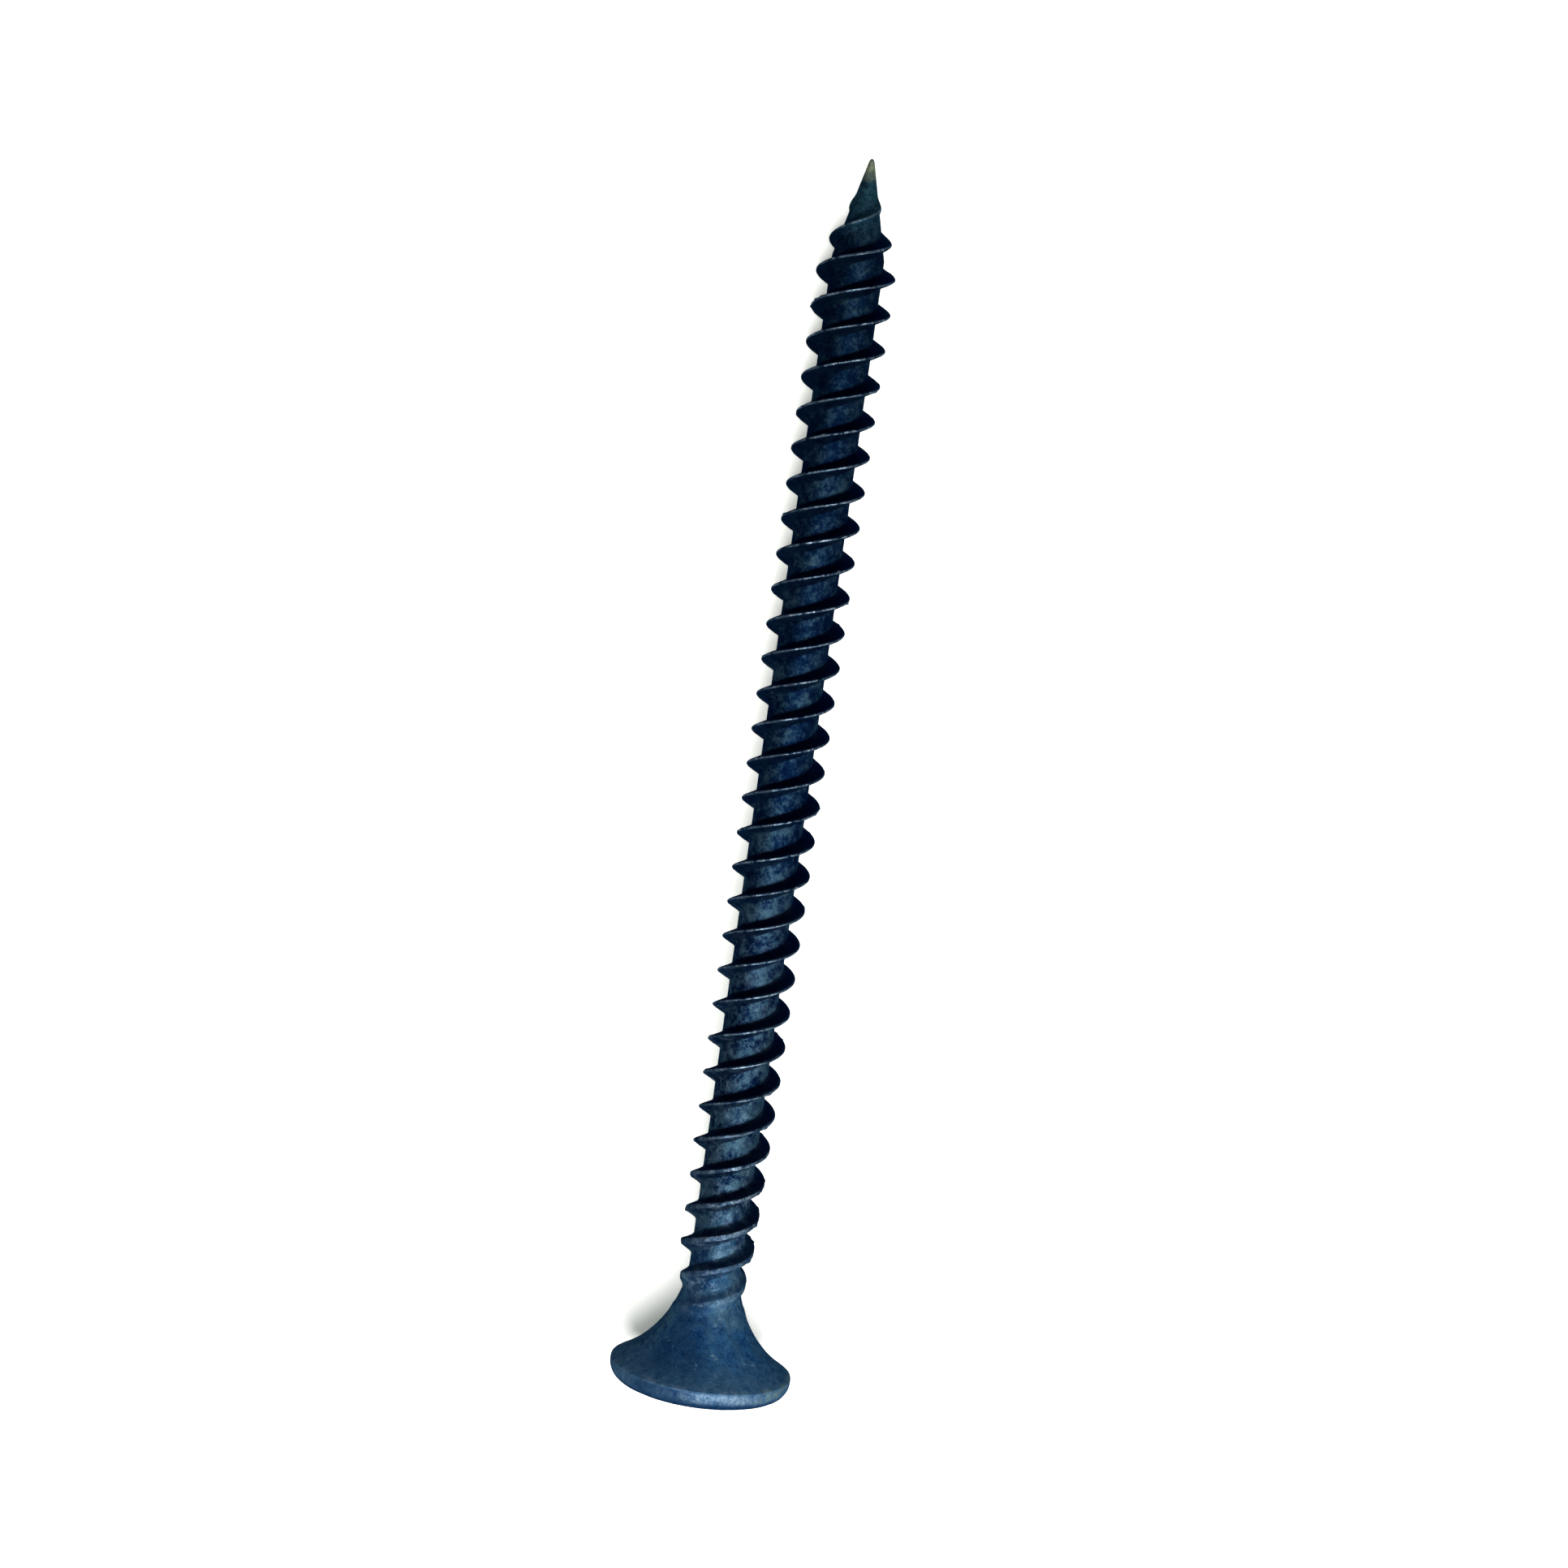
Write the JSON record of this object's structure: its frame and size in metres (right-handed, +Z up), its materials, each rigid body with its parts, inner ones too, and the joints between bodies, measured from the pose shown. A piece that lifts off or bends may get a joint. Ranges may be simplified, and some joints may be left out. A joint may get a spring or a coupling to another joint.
{
  "type": "drywall screw",
  "caption": "Black phosphate drywall screw with a trumpet-shaped countersunk head, cross recess, twin fine right-hand thread and sharp point, lying on its side.",
  "frame": {"origin": "on the surface that the screw lies on, under the middle of its box", "axes": "+X from the head to the point, level; +Z up; the screw's own axis dips 2.69 degrees below +X, because it lies on the edge of its head and on the thread near its point"},
  "size_m": [0.055, 0.0082, 0.0081],
  "materials": {
    "black_phosphate": "satin"
  },
  "bodies": {
    "root": {"drywall_screw": "black_phosphate"}
  },
  "joints": []
}
